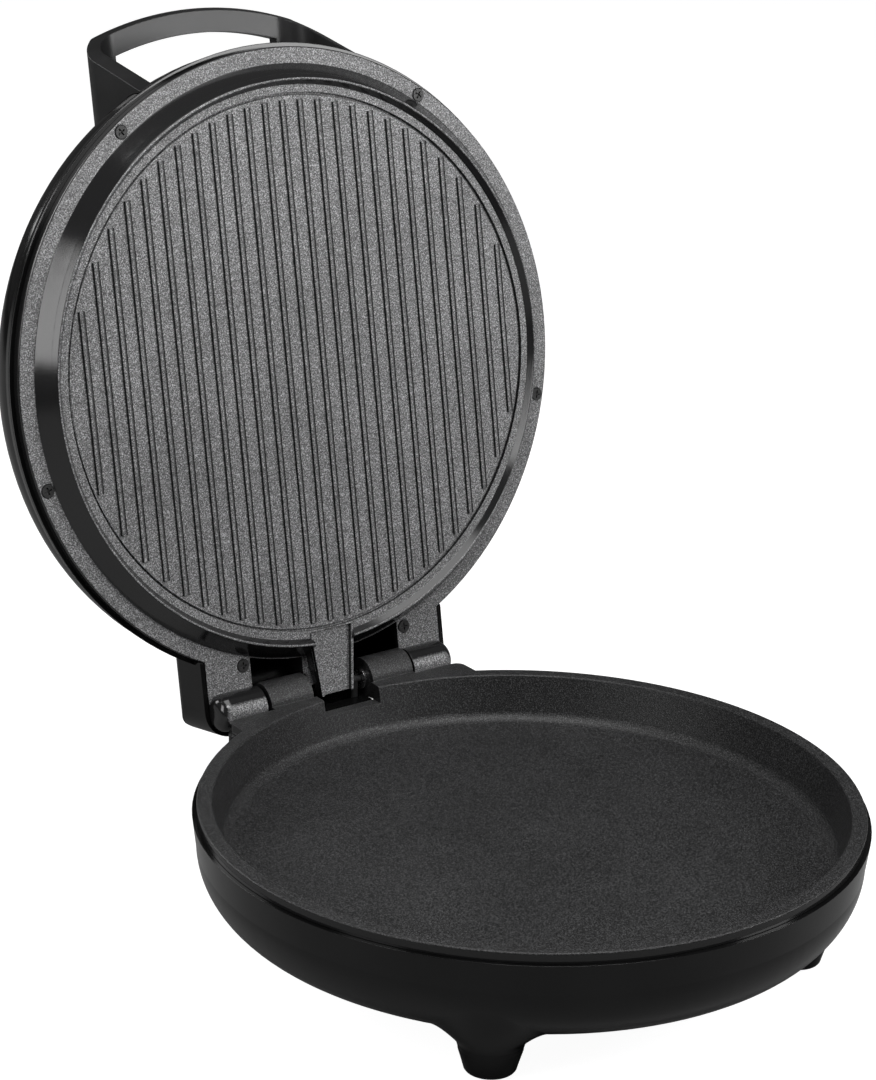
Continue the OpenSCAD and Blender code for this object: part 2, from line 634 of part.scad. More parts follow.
module base_wiring() color("darkred") place() union() {
    lead([base_block_at + [block_len / 6, 16 + seat_gap, 5], base_block_at + [block_len / 6, 28, 5],
        [harness_x + 15, harness_y - 15.6, bowl_z + 10], [harness_x, harness_y, harness_z], [harness_x, hinge_y, harness_z],
        [harness_x, hinge_y, hinge_z], [meet_x - edge_gap / 2, hinge_y, hinge_z]]);
}

module hinge_pin(hollow) difference() {
    union() {
        bar_x(pin_x1, pin_x2, pin_r);
        bar_x(pin_x1 - pin_head_t, pin_x1 + weld / 4, pin_head_r);
    }
    if (hollow) bar_x(0, far, pin_hollow_r);
}
module hinge_pin_left() color(steel_colour) place() translate([0, hinge_y, hinge_z]) scale_x(-1) hinge_pin(false);
module hinge_pin_right() color(steel_colour) place() translate([0, hinge_y, hinge_z]) hinge_pin(true);

// Half section of the upper plate, food side down
module upper_plate_2d() polygon(concat(
    [[0, disc_back_z], [0, -disc_h], [disc_r - groove_w / 2, -disc_h],
        [disc_r - groove_w / 2, groove_d - disc_h], [disc_r + groove_w / 2, groove_d - disc_h],
        [disc_r + groove_w / 2, -strip_h], [crest_r - 3, -strip_h]],
    arc(crest_r, -crest_h + 1, 1, -160, -30, 5),
    arc(flange_in_r + 1, -1, 1, 150, 90, 3),
    arc(plate_r - 1, 1, 1, -90, 0, 4),
    [[plate_r, skirt_h], [plate_r - skirt_t, skirt_h], [plate_r - skirt_t, plate_t], [flange_in_r + 1.6, plate_t],
        [crest_r + 2.6, plate_t + 0.6 - crest_h], [crest_r - 1.4, plate_t + 0.6 - crest_h],
        [disc_r + groove_w / 2 + 0.8, plate_t - strip_h], [disc_r - 4, disc_back_z]]));

module ribs() for (i = [-ribs_each_side : ribs_each_side]) {
    x = i * rib_pitch;
    // ribs that would not fit on the disc are left out
    if (abs(x) < disc_r - rib_end_gap - rib_w) {
        reach = sqrt((disc_r - rib_end_gap) ^ 2 - x ^ 2) - rib_w / 2;
        translate([x - rib_w / 2, -reach, -disc_h - rib_h]) cube([rib_w, 2 * reach, rib_h + weld]);
        for (s = [-1, 1]) translate([x, s * reach, -disc_h - rib_h])
            cylinder(h = rib_h + weld, r = rib_w / 2, $fn = 24);
    }
}

// Tapered plan of the tongue, grown by d on each side
module tongue_2d(d, y1, y2) polygon([[-tongue_w1 - d, y1], [tongue_w1 + d, y1],
    [tongue_w2 + d, y2], [-tongue_w2 - d, y2]]);

module tongue() {
    y1 = disc_r + groove_w;
    y2 = hinge_y + tongue_past_axis;
    translate([0, 0, -disc_h]) linear_extrude(3.6) tongue_2d(0, y1, y2);
    // two webs behind the floor, up to the flange
    translate([0, 0, -disc_h]) linear_extrude(disc_h + plate_t / 2) difference() {
        intersection() {
            tongue_2d(0, y1 + 2, y2);
            circle(r = plate_r - 1, $fn = 180);
        }
        tongue_2d(-tongue_wall_t, y1 - 1, y2 + 1);
    }
    translate([0, 0, -disc_h - tongue_wall_h]) linear_extrude(tongue_wall_h + weld) difference() {
        tongue_2d(0, y1, y2);
        tongue_2d(-tongue_wall_t, y1 - 1, y2 + 1);
    }
}

module flange_screw_places() for (s = [-1, 1], a = [flange_screw_a1, flange_screw_a2])
    rotate([0, 0, -90 + s * a]) translate([flange_screw_r, 0, 0]) children();
module ear_screw_places() both_sides() translate([ear_screw_x, hinge_y - ear_screw_dy, 0]) children();

// Boss behind a screw's hole, a little lower than the skirt around it
module plate_boss() translate([0, 0, plate_t - weld])
    cylinder(h = skirt_h - plate_t + weld - 0.15, r = boss_r - 0.4, $fn = 40);

// Knuckle with a rounded outer end, grown by d
module outer_knuckle(d = 0) translate([0, hinge_y, axis_z]) rotate([0, 90, 0]) rotate_extrude($fn = 72) {
    r = outer_knuckle_r + d;
    x2 = outer_knuckle_x2 + d;
    square_from(0, outer_knuckle_x1, r, x2 - knuckle_end_r);
    square_from(0, outer_knuckle_x1, r - knuckle_end_r, x2);
    intersection() {
        translate([r - knuckle_end_r, x2 - knuckle_end_r]) circle(r = knuckle_end_r, $fn = 48);
        translate([0, x2 - knuckle_end_r - 1]) square([r, knuckle_end_r + 2]);
    }
}
module square_from(x1, y1, x2, y2) translate([x1, y1]) square([x2 - x1, y2 - y1]);

module upper_plate() color(plate_colour) lid_place() difference() {
    union() {
        difference() {
            rotate_extrude($fn = 180) upper_plate_2d();
            // the tongue breaks the crest ring
            translate([0, 0, -far - disc_h]) linear_extrude(far) tongue_2d(0, disc_r + groove_w, flange_in_r + 1);
        }
        ribs();
        tongue();
        linear_extrude(plate_t) ears_2d(hinge_y - 2);
        flange_screw_places() plate_boss();
        ear_screw_places() plate_boss();
        both_sides() outer_knuckle();
        at_posts() translate([0, 0, disc_back_z - weld]) cylinder(h = reflector_drop + weld, r = post_r, $fn = 48);
        at_straps() translate([strap_boss_r, 0, disc_back_z - weld])
            cylinder(h = strap_z - seat_gap + weld, r = 4.4, $fn = 40);
    }
    // only the outer thirds of the ears carry knuckles
    translate([-outer_knuckle_x1, plate_r + 0.4, -far / 2]) difference() {
        cube([2 * outer_knuckle_x1, far, far]);
        translate([outer_knuckle_x1 - tongue_w1, -1, 0]) cube([2 * tongue_w1, far, far]);
    }
    both_sides() translate([0, hinge_y, axis_z])
        bar_x(inner_knuckle_x1 - knuckle_gap / 2, outer_knuckle_x1, inner_knuckle_r + knuckle_room);
    // the flange is open in front of the lower knuckles
    both_sides() translate([0, 0, -1]) difference() {
        translate([tongue_w1 + tongue_gap, rim_in_r - 24, 0]) cube([outer_knuckle_x1 - tongue_w1 - tongue_gap, far, far]);
        translate([0, 0, -1]) cylinder(h = far, r = flange_in_r + 0.9, $fn = 180);
    }
    both_sides() translate([0, hinge_y, axis_z]) bar_x(outer_knuckle_x1 - 1, pin_x2 + 0.5, pin_r + 0.02);
    translate([0, hinge_y, axis_z]) bar_x(pin_x2, lead_turn_x, lead_r + 0.6);
    translate([lead_turn_x, hinge_y, axis_z]) cylinder(h = far, r = lead_r + 0.6, $fn = 36);
    translate([lead_turn_x, hinge_y, axis_z]) sphere(r = lead_r + 0.8, $fn = 36);
    flange_screw_places() translate([0, 0, -1]) cylinder(h = far, r = screw_r + screw_gap, $fn = 32);
    flange_screw_places() translate([0, 0, -1]) cylinder(h = 1 + recess_d, r = recess_r, $fn = 48);
    ear_screw_places() translate([0, 0, -1]) cylinder(h = far, r = screw_r + screw_gap, $fn = 32);
    ear_screw_places() translate([0, 0, -1]) cylinder(h = 1 + recess_d, r = recess_r, $fn = 48);
    at_posts() translate([0, 0, disc_back_z + reflector_drop - 10])
        cylinder(h = far, r = screw_r + thread_gap, $fn = 32);
    at_straps() translate([strap_boss_r, 0, disc_back_z + 0.6])
        cylinder(h = far, r = screw_r + thread_gap, $fn = 32);
}

module lid_screw() translate([0, 0, recess_d - seat_gap]) rotate([180, 0, 0]) screw();
module flange_screws() color(steel_colour) lid_place() flange_screw_places() lid_screw();
module ear_screws() color(steel_colour) lid_place() ear_screw_places() lid_screw();

// Dome of the lid: half section, drawn t inside the outer skin
module dome_2d(t) {
    tangent = [lid_edge_x + lid_edge_r * sin(crown_a), lid_shoulder + lid_edge_r * cos(crown_a)];
    polygon([[0, ledge_z], [lip_r - t, ledge_z], [lip_r - lid_draft - t, lid_shoulder], [0, lid_shoulder]]);
    intersection() {
        translate([lid_edge_x, lid_shoulder]) circle(r = lid_edge_r - t, $fn = 180);
        translate([lid_edge_x - lid_edge_r, lid_shoulder - 0.01]) square([2 * lid_edge_r + 1, lid_edge_r + 1]);
    }
    intersection() {
        translate([0, crown_z]) circle(r = crown_r - t, $fn = 2880);
        polygon([[0, 0], [lid_edge_x, lid_shoulder - 0.02], tangent, [0, tangent[1] + 12]]);
    }
}
module dome(t) rotate_extrude($fn = 180) dome_2d(t);
module cover(t) rounded_block(cover_w - t, root_y, cover_y - t, t > 0 ? -1 : 2 * seat_gap, cover_h - t,
    cover_corner_r - t, cover_edge_r - t, true);
module lid_skin() {
    dome(0);
    cover(0);
}

lens_z = crown_z + sqrt(crown_r ^ 2 - light_x ^ 2 - light_y ^ 2);
module at_light(s) translate([s * light_x, -light_y, 0]) children();
board_z = lens_z - wall_t - 12;
handle_screw_y = handle_front_r - handle_screw_inset;
handle_screw_x = handle_w - handle_t / 2;
post_x = light_x + lens_r + 5.5;

module lid_housing() color(housing_colour) lid_place() difference() {
    lid_shell();
    flange_screw_places() translate([0, 0, 3]) cylinder(h = screw_len + 1.5, r = screw_r + thread_gap, $fn = 32);
}
module lid_shell() difference() {
    union() {
        difference() {
            lid_skin();
            dome(wall_t);
            cover(wall_t);
        }
        difference() {
            rotate_extrude($fn = 180) translate([ledge_in_r, ledge_z]) square([lip_r - 0.4 - ledge_in_r, ledge_t]);
            translate([-ear_w, 100, 0]) cube([2 * ear_w, far, far]);
        }
        intersection() {
            union() {
                flange_screw_places() translate([0, 0, ledge_z]) cylinder(h = 24, r = boss_r, $fn = 40);
                ear_screw_places() translate([0, 0, ledge_z]) cylinder(h = far, r = boss_r, $fn = 40);
                both_sides() translate([post_x, -light_y, board_z]) cylinder(h = 30, r = 3, $fn = 36);
                both_sides() translate([post_x, -light_y, board_z - 2.6]) cylinder(h = 5, r = 1.1, $fn = 24);
                both_sides() translate([handle_screw_x, -handle_screw_y, dome_top(handle_screw_y) - wall_t - 1.7])
                    cylinder(h = 12, r = boss_r, $fn = 40);
            }
            lid_skin();
        }
        // tabs that meet the base's stops
        both_sides() translate([stop_x - stop_w / 2, cover_y - 4, stop_low_z])
            cube([stop_w, 4 - 0.4, 8 - stop_low_z]);
    }
    // room for the plate and the lower knuckles
    translate([0, 0, -1]) cylinder(h = 1 + ledge_z, r = plate_r + edge_gap, $fn = 180);
    both_sides() translate([0, hinge_y, axis_z])
        bar_x(0, outer_knuckle_x1 - 0.3, inner_knuckle_r + knuckle_room);
    both_sides() outer_knuckle(0.35);
    translate([-outer_knuckle_x1 + 0.3, cover_y - wall_t - 2, -1]) cube([2 * outer_knuckle_x1 - 0.6, 10, 9]);
    ear_screw_places() translate([0, 0, ledge_z - 1]) cylinder(h = screw_len, r = screw_r + thread_gap, $fn = 32);
    for (s = [-1, 1]) at_light(s) cylinder(h = far, r = lens_r + seat_gap, $fn = 48);
    both_sides() translate([handle_screw_x, -handle_screw_y, 0]) cylinder(h = far, r = screw_r + screw_gap, $fn = 32);
}

// Outline of the handle seen from the front: a bridge with rounded corners
module bridge_2d(w, h, r) {
    translate([-w, 0]) square([2 * w, h - r]);
    translate([r - w, 0]) square([2 * (w - r), h]);
    for (s = [-1, 1]) translate([s * (w - r), h - r]) circle(r = r, $fn = 96);
}
function front_r(z) = handle_front_r + handle_lean * z;

// Half section of the handle about the lid's axis: a leaning front, a flat top and legs that run back
module handle_2d() {
    top_r = front_r(handle_h);
    back_r = top_r - grip_d;
    edge = grip_edge_r;
    polygon([[front_r(8), 8], [front_r(handle_h - edge), handle_h - edge], [top_r - edge, handle_h],
        [back_r - 2, handle_h], [back_r - 9, handle_h - 0.6], [back_r - 17, handle_h - 3.6],
        [back_r - 25, handle_h - 9.4], [back_r - 32, handle_h - 18], [back_r - 37, handle_h - 28],
        [back_r - 41, handle_h - 40], [back_r - 42, 8]]);
    translate([front_r(handle_h - edge) - edge, handle_h - edge]) circle(r = edge, $fn = 48);
}
module handle() color(housing_colour) lid_place() difference() {
    intersection() {
        rotate_extrude($fn = 180) handle_2d();
        translate([0, -90, 0]) rotate([90, 0, 0]) linear_extrude(far)
            difference() {
                bridge_2d(handle_w, handle_h, handle_corner_r);
                translate([0, -1]) bridge_2d(handle_w - handle_t, handle_h - handle_t + 1, handle_corner_r - handle_t);
            }
    }
    // the grip is narrower than the legs
    intersection() {
        translate([0, 0, handle_h - handle_t - handle_corner_r])
            cylinder(h = far, r = front_r(handle_h) - grip_d, $fn = 180);
        translate([-handle_w + handle_corner_r, -far, 0]) cube([2 * (handle_w - handle_corner_r), far, far]);
    }
    dome(-seat_gap);
    both_sides() translate([handle_screw_x, -handle_screw_y, 0]) cylinder(h = dome_top(handle_screw_y) + 11,
        r = screw_r + thread_gap, $fn = 32);
}
// Height of the dome's skin above the flange face, close to its edge
function dome_top(y) = let (r = norm([handle_screw_x, y]))
    lid_shoulder + sqrt(lid_edge_r ^ 2 - (r - lid_edge_x) ^ 2);

module handle_screws() color(steel_colour) lid_place() both_sides()
    translate([handle_screw_x, -handle_screw_y, dome_top(handle_screw_y) - wall_t - 1.8]) rotate([180, 0, 0])
        screw(len = 12);

module reflector_screws() color(steel_colour) on_disc_back() at_posts()
    translate([0, 0, reflector_drop + reflector_t + 2 * seat_gap]) screw(len = 8);

lid_block_at = [20, disc_r - 87, disc_back_z + reflector_drop + reflector_t + 2 * seat_gap];
module lid_terminal_block() color("ivory") lid_place() translate(lid_block_at) terminal_block();

module lid_wiring() color("darkred") lid_place() union() {
    z = lid_block_at[2] + 5.2;
    lead([[meet_x + edge_gap / 2, hinge_y, axis_z], [lead_turn_x, hinge_y, axis_z], [lead_turn_x, hinge_y, z],
        [lead_turn_x, hinge_y - 31.8, z], [lid_block_at[0] + block_len / 2, lid_block_at[1] + 50, z],
        [lid_block_at[0] + block_len / 2, lid_block_at[1] + 16 + seat_gap, z]]);
}

module light() at_light(0) {
    translate([0, 0, lens_z - wall_t - 1.2]) cylinder(h = wall_t + 1.8, r = lens_r, $fn = 48);
    translate([0, 0, lens_z - wall_t - 2.2]) cylinder(h = 1.4, r = lens_r + 1.4, $fn = 48);
}
module power_light() color("red") lid_place() translate([-light_x, 0, 0]) light();
module ready_light() color("green") lid_place() translate([light_x, 0, 0]) light();
module lamps() color("orange") lid_place() for (s = [-1, 1]) at_light(s) translate([0, 0, board_z + seat_gap])
    cylinder(h = 8, r = lamp_r, $fn = 36);
module lamp_board() color("tan") lid_place() difference() {
    translate([-post_x - 4, -light_y - 8, board_z - 1.6 - seat_gap]) cube([2 * post_x + 8, 16, 1.6]);
    both_sides() translate([post_x, -light_y, board_z - 5]) cylinder(h = 8, r = 1.2, $fn = 24);
}

base_housing();
foot_pads();
inlet_bush();
lower_plate();
base_screws();
lower_element();
lower_element_clamps();
lower_clamp_screws();
lower_reflector();
lower_thermostat();
lower_thermal_fuse();
base_terminal_block();
base_wiring();
hinge_pin_left();
hinge_pin_right();
upper_plate();
flange_screws();
ear_screws();
lid_housing();
handle();
handle_screws();
upper_element();
upper_element_clamps();
upper_clamp_screws();
upper_reflector();
reflector_screws();
upper_thermostat();
lid_terminal_block();
lid_wiring();
power_light();
ready_light();
lamps();
lamp_board();
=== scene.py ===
import math
import bmesh
import bpy
import numpy as np
from mathutils import Matrix, Vector


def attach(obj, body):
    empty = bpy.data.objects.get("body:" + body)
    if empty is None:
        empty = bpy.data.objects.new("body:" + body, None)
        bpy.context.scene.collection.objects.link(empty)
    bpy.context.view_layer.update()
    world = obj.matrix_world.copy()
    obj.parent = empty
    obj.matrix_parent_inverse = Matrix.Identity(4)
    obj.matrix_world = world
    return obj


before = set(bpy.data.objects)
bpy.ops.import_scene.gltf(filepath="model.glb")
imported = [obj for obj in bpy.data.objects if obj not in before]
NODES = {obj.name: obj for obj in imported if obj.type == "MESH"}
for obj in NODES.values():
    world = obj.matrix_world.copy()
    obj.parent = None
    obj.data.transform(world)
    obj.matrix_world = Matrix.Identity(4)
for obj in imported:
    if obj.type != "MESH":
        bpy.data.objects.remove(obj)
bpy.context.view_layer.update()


# The maker's frames, in millimetres: z is up from the table, y runs from the pan's centre to the hinge.
# The lid's own frame has its origin on the upper flange face, with z away from the food.
PLATE_R = 172.0
HINGE_Y = 181.8
HINGE_Z = 78.5
ABOVE_AXIS = 3.9
OPEN = math.radians(100.4)
FRAME_Y = 78.816


def base_place(x, y, z):
    """Millimetres about the pan's centre to metres in the part's frame."""
    return np.stack(np.broadcast_arrays(x, y - FRAME_Y, z), axis=-1) / 1000.0


def lid_place(x, y, z):
    """Lid frame to the part's frame: turn by the opening angle about the hinge axis, then shift."""
    dy, dz = y - HINGE_Y, z + ABOVE_AXIS
    c, s = math.cos(OPEN), math.sin(OPEN)
    return base_place(x, HINGE_Y + dy * c + dz * s, HINGE_Z - dy * s + dz * c)


# ---------------------------------------------------------------- surfaces from arrays


def grid_quads(rows, columns, close_columns=False):
    """Corner numbers of a grid's quads; closed columns join the last to the first."""
    a, b = np.meshgrid(np.arange(rows - 1),
                       np.arange(columns if close_columns else columns - 1), indexing="ij")
    a2, b2 = a + 1, (b + 1) % columns
    quads = [a * columns + b, a2 * columns + b, a2 * columns + b2, a * columns + b2]
    return np.stack(quads, -1).reshape(-1, 4)


def piece(name, parts, body, materials, sharp):
    """One mesh from parts of (points in metres, faces, material number), rides on a CAD body."""
    starts = np.cumsum([0] + [len(points) for points, _, _ in parts])
    points = np.concatenate([points for points, _, _ in parts])
    faces = np.concatenate([quads + start for (_, quads, _), start in zip(parts, starts)])
    data = bpy.data.meshes.new(name)
    data.from_pydata(points.tolist(), [], faces.tolist())
    numbers = np.concatenate([np.full(len(quads), number) for _, quads, number in parts])
    data.polygons.foreach_set("material_index", numbers.astype(np.int32))
    for material in materials:
        data.materials.append(material)
    work = bmesh.new()
    work.from_mesh(data)
    bmesh.ops.remove_doubles(work, verts=work.verts, dist=2e-6)
    bmesh.ops.dissolve_degenerate(work, edges=work.edges, dist=1e-6)
    work.to_mesh(data)
    work.free()
    data.shade_smooth()
    data.set_sharp_from_angle(angle=math.radians(sharp))
    thing = bpy.data.objects.new(name, data)
    bpy.context.scene.collection.objects.link(thing)
    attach(thing, body)
    return thing


# ---------------------------------------------------------------- shader maths


class Value:
    """A number on a shader socket. Python's operators on it add Math nodes."""

    def __init__(self, look, socket):
        self.look = look
        self.socket = socket

    def _maths(self, operation, *others):
        values = {i: v for i, v in enumerate((self, *others))}
        return self.look.add("ShaderNodeMath", {"operation": operation}, values)

    def __add__(self, other):
        return self._maths("ADD", other)

    __radd__ = __add__

    def __sub__(self, other):
        return self._maths("SUBTRACT", other)

    def __rsub__(self, other):
        return self.look.add("ShaderNodeMath", {"operation": "SUBTRACT"}, {0: other, 1: self})

    def __mul__(self, other):
        return self._maths("MULTIPLY", other)

    __rmul__ = __mul__

    def smooth(self, low, high):
        """0 below low, 1 above high, eased between."""
        return self.look.add("ShaderNodeMapRange", {"interpolation_type": "SMOOTHSTEP"},
                             {"Value": self, "From Min": low, "From Max": high})


def socket_name(key):
    """base_color to Base Color; short words in capitals stay so."""
    return " ".join(word if word.isupper() else word.title() for word in key.split("_"))


class Look:
    """One material: a principled shader whose varying inputs are set from expressions."""

    def __init__(self, name, **constants):
        self.material = bpy.data.materials.new(name)
        self.material.use_nodes = True
        self.tree = self.material.node_tree
        self.shader = next(n for n in self.tree.nodes if n.type == "BSDF_PRINCIPLED")
        for key, value in constants.items():
            self.shader.inputs[socket_name(key)].default_value = value
        self.place = self.add("ShaderNodeTexCoord", {}, {}, out="Object")

    def plug(self, socket, value):
        if isinstance(value, Value):
            self.tree.links.new(value.socket, socket)
        else:
            socket.default_value = value

    def add(self, kind, settings, values, out=0):
        """A node of that kind: its settings first, then its sockets' values or links."""
        node = self.tree.nodes.new(kind)
        for key, value in settings.items():
            if key == "stops":
                ramp = node.color_ramp
                while len(ramp.elements) < len(value):
                    ramp.elements.new(0.5)
                for stop, (at, colour) in zip(ramp.elements, value):
                    stop.position = at
                    stop.color = (*colour, 1)
            else:
                setattr(node, key, value)
        for key, value in values.items():
            self.plug(node.inputs[key], value)
        return Value(self, node.outputs[out])

    def slope(self, axis, low, high):
        """0 where the surface faces along the axis, 1 where it is steep to it."""
        facing = self.add("ShaderNodeVectorMath", {"operation": "DOT_PRODUCT"},
                          {0: self.add("ShaderNodeTexCoord", {}, {}, out="Normal"), 1: axis}, out="Value")
        return self.add("ShaderNodeMath", {"operation": "ABSOLUTE"}, {0: facing}).smooth(high, low)

    def noise(self, size, detail=2.0, rough=0.5):
        """Noise whose grains are about size millimetres across."""
        return self.add("ShaderNodeTexNoise", {}, {"Vector": self.place, "Scale": 1000.0 / size,
                                                   "Detail": detail, "Roughness": rough})

    def ramp(self, value, stops):
        return self.add("ShaderNodeValToRGB", {"stops": stops}, {"Fac": value})

    def mix(self, factor, first, second):
        """From the first colour to the second by factor."""
        node = self.add("ShaderNodeMix", {"data_type": "RGBA"}, {}, out=2).socket.node
        for index, value in ((0, factor), (6, first), (7, second)):
            self.plug(node.inputs[index], value)
        return Value(self, node.outputs[2])

    def bump(self, height, distance, edge=0.0):
        """Relief of that depth in millimetres, on normals that round every edge by edge millimetres."""
        values = {"Height": height, "Distance": distance / 1000.0}
        if edge:
            values["Normal"] = self.add("ShaderNodeBevel", {"samples": 6}, {"Radius": edge / 1000.0})
        return self.add("ShaderNodeBump", {}, values)

    def set(self, **inputs):
        for key, value in inputs.items():
            self.plug(self.shader.inputs[socket_name(key)], value)
        return self.material


def grey(level):
    return (level, level, level * 1.02)


def coated_plate(name, axis, pale=1.0, steep=0.012, low=0.80, high=0.93, ior=1.6):
    """Non-stick coating: charcoal with fine pale and dark specks. On walls steep to the axis the colour is
    painted shade, dark at the level steep and without specks, and the gloss is smoother; low and high bound
    the slope where one turns into the other."""
    look = Look(name, IOR=ior)
    speck = look.noise(0.7, 2.0, 0.8)
    fleck = look.noise(0.45, 1.0)
    wide = look.noise(60.0, 2.0)
    stops = [(0.36, grey(0.02 * pale)), (0.47, grey(0.07 * pale)),
             (0.55, grey(0.17 * pale)), (0.66, grey(0.5 * pale))]
    flat = look.ramp(speck + (wide - 0.5) * 0.08, stops)
    # shaded_wall is 1 on walls steep to the axis: there the colour is painted shade and the gloss is
    # smoother.
    shaded_wall = look.slope(axis, low, high)
    rough = 0.35 + 0.16 * fleck
    return look.set(base_color=look.mix(shaded_wall, flat, (*grey(steep), 1)),
                    roughness=rough * (1.0 - 0.72 * shaded_wall),
                    normal=look.bump((speck + 0.5 * fleck) * (1.0 - 0.9 * shaded_wall), 0.16, edge=0.5))


def moulded_plastic(name, level=0.003, rough=0.13):
    """Black moulded plastic: soft gloss over a very fine grain, with faint handling marks."""
    look = Look(name, IOR=1.36)
    grain = look.noise(0.9, 2.0)
    smear = look.noise(35.0, 3.0)
    return look.set(base_color=look.mix(smear.smooth(0.35, 0.7), (*grey(level), 1), (*grey(level * 1.6), 1)),
                    roughness=rough + 0.08 * (smear - 0.5) + 0.05 * (grain - 0.5),
                    normal=look.bump(grain, 0.004, edge=0.6))


def worn_metal(name, level, rough, tint=(1.0, 1.0, 1.0), metallic=1.0):
    """Plated or bare metal: fine scratches across, a mottled tarnish in colour and gloss."""
    look = Look(name, Metallic=metallic)
    mottle = look.noise(4.0, 4.0, 0.6)
    fine = look.noise(0.3, 2.0)
    dark = tuple(level * 0.8 * t for t in tint)
    pale = tuple(level * 1.05 * t for t in tint)
    return look.set(base_color=look.mix(mottle.smooth(0.3, 0.7), (*dark, 1), (*pale, 1)),
                    roughness=rough + 0.16 * (mottle - 0.5) + 0.06 * fine,
                    normal=look.bump(fine, 0.006, edge=0.2))


def soft_rubber(name, level=0.02):
    """Matt black rubber: a dusty, pitted skin."""
    look = Look(name, IOR=1.45)
    grain = look.noise(0.5, 3.0, 0.7)
    return look.set(base_color=look.mix(grain.smooth(0.4, 0.8), (*grey(level), 1), (*grey(level * 2), 1)),
                    roughness=0.72 + 0.2 * (grain - 0.5), normal=look.bump(grain, 0.03))


def dull_plastic(name, colour, rough=0.5):
    """Unpolished plastic or board: cloudy in colour, with a fine grain."""
    look = Look(name, IOR=1.48)
    grain = look.noise(0.8, 3.0)
    dark = tuple(0.82 * c for c in colour)
    return look.set(base_color=look.mix(grain.smooth(0.35, 0.7), (*dark, 1), (*colour, 1)),
                    roughness=rough + 0.12 * (grain - 0.5), normal=look.bump(grain, 0.015))


def woven_sleeve(name, colour):
    """Glass-fibre sleeve: two crossed waves make the braid."""
    look = Look(name)
    warp = look.add("ShaderNodeTexWave", {"bands_direction": "X"}, {"Vector": look.place, "Scale": 380.0})
    weft = look.add("ShaderNodeTexWave", {"bands_direction": "DIAGONAL"},
                    {"Vector": look.place, "Scale": 300.0})
    weave = warp * weft
    dark = tuple(0.6 * c for c in colour)
    return look.set(base_color=look.mix(weave, (*dark, 1), (*colour, 1)), roughness=0.8 + 0.1 * weave,
                    normal=look.bump(weave, 0.08))


def lens_plastic(name, colour):
    """Clear tinted lens: glossy, with faintly cloudy colour."""
    look = Look(name, IOR=1.5, Coat_Weight=0.4)
    clouds = look.noise(1.5, 2.0)
    dark = tuple(0.5 * c for c in colour)
    return look.set(base_color=look.mix(clouds.smooth(0.3, 0.7), (*dark, 1), (*colour, 1)),
                    roughness=0.12 + 0.06 * clouds, normal=look.bump(clouds, 0.01))


# Out of the lid's flat faces, in the part's frame.
LID_NORMAL = (0.0, math.sin(OPEN), math.cos(OPEN))
# Both coatings paint shade into the colour of their steep walls.
upper_coating = coated_plate("upper non-stick coating", LID_NORMAL)
lower_coating = coated_plate("lower non-stick coating", (0.0, 0.0, 1.0), pale=0.17,
                             low=0.12, high=0.3, ior=1.42)
# A darker copy of the coating: painted shade on the ribs' sides and in the grooves beside them.
painted_shade_coating = coated_plate("coating with painted shade for rib sides", LID_NORMAL, pale=0.25, steep=0.008)
black_plastic = moulded_plastic("black moulded plastic")
zinc = worn_metal("zinc plate", 0.6, 0.3)
black_steel = worn_metal("blackened steel", 0.02, 0.4, metallic=0.3)
satin_plastic = moulded_plastic("satin black plastic", level=0.012, rough=0.32)
tube_steel = worn_metal("heating tube", 0.35, 0.42, (1.0, 0.95, 0.9))
pin_steel = worn_metal("turned steel", 0.55, 0.22)
bright_sheet = worn_metal("bright sheet", 0.8, 0.18)
cap_metal = worn_metal("thermostat cap", 0.7, 0.35)
rubber = soft_rubber("foot rubber")
sleeve = soft_rubber("silicone sleeve", 0.015)

FINISH = {
    "base_housing": black_plastic, "lid_housing": black_plastic, "handle": satin_plastic,
    "lower_plate": lower_coating, "upper_plate": upper_coating,
    "flange_screws": black_steel, "ear_screws": black_steel,
    "base_screws": zinc, "handle_screws": zinc, "reflector_screws": zinc,
    "lower_clamp_screws": zinc, "upper_clamp_screws": zinc,
    "lower_element": tube_steel, "upper_element": tube_steel,
    "lower_element_clamps": pin_steel, "upper_element_clamps": pin_steel,
    "lower_reflector": bright_sheet, "upper_reflector": bright_sheet,
    "lower_thermostat": cap_metal, "upper_thermostat": cap_metal,
    "lower_thermal_fuse": woven_sleeve("glass-fibre sleeve", (0.78, 0.75, 0.68)),
    "base_terminal_block": dull_plastic("ivory nylon", (0.74, 0.7, 0.58)),
    "lid_terminal_block": dull_plastic("ivory nylon, lid", (0.74, 0.7, 0.58)),
    "base_wiring": sleeve, "lid_wiring": sleeve,
    "hinge_pin_left": pin_steel, "hinge_pin_right": pin_steel,
    "foot_pads": rubber, "inlet_bush": rubber,
    "power_light": lens_plastic("red lens", (0.55, 0.015, 0.01)),
    "ready_light": lens_plastic("green lens", (0.02, 0.36, 0.05)),
    "lamps": lens_plastic("lamp glass", (0.8, 0.45, 0.25)),
    "lamp_board": dull_plastic("board", (0.45, 0.3, 0.14), 0.6),
}
for name, material in FINISH.items():
    slots = NODES[name].data.materials
    slots.clear()
    slots.append(material)

# ---------------------------------------------------------------- pieces

# Millimetres again. The disc, its ribs and the skin laid over them, in the lid's frame:
DISC_R = 147.0
SKIN_R = DISC_R - 0.7
SKIN_Z = -7.4
SKIN_EDGE_Z = -6.9
RIB_AT = np.arange(-12, 13) * 11.27
RIB_END_R = DISC_R - 3.4
RIB_HALF = 1.2
RIB_RIM_GAP = 2.2
# One rib's section: places across it, and heights over the disc.
RIB_X = np.array([-1.75, -1.42, -1.25, -0.9, -0.45, 0.0, 0.45, 0.9, 1.25, 1.4, 2.2, 2.55, 2.85, 3.2])
RIB_Z = np.array([0.0, 0.0, 0.98, 1.25, 1.38, 1.42, 1.38, 1.25, 0.98, -0.3, -0.3, -0.3, 0.0, 0.0])
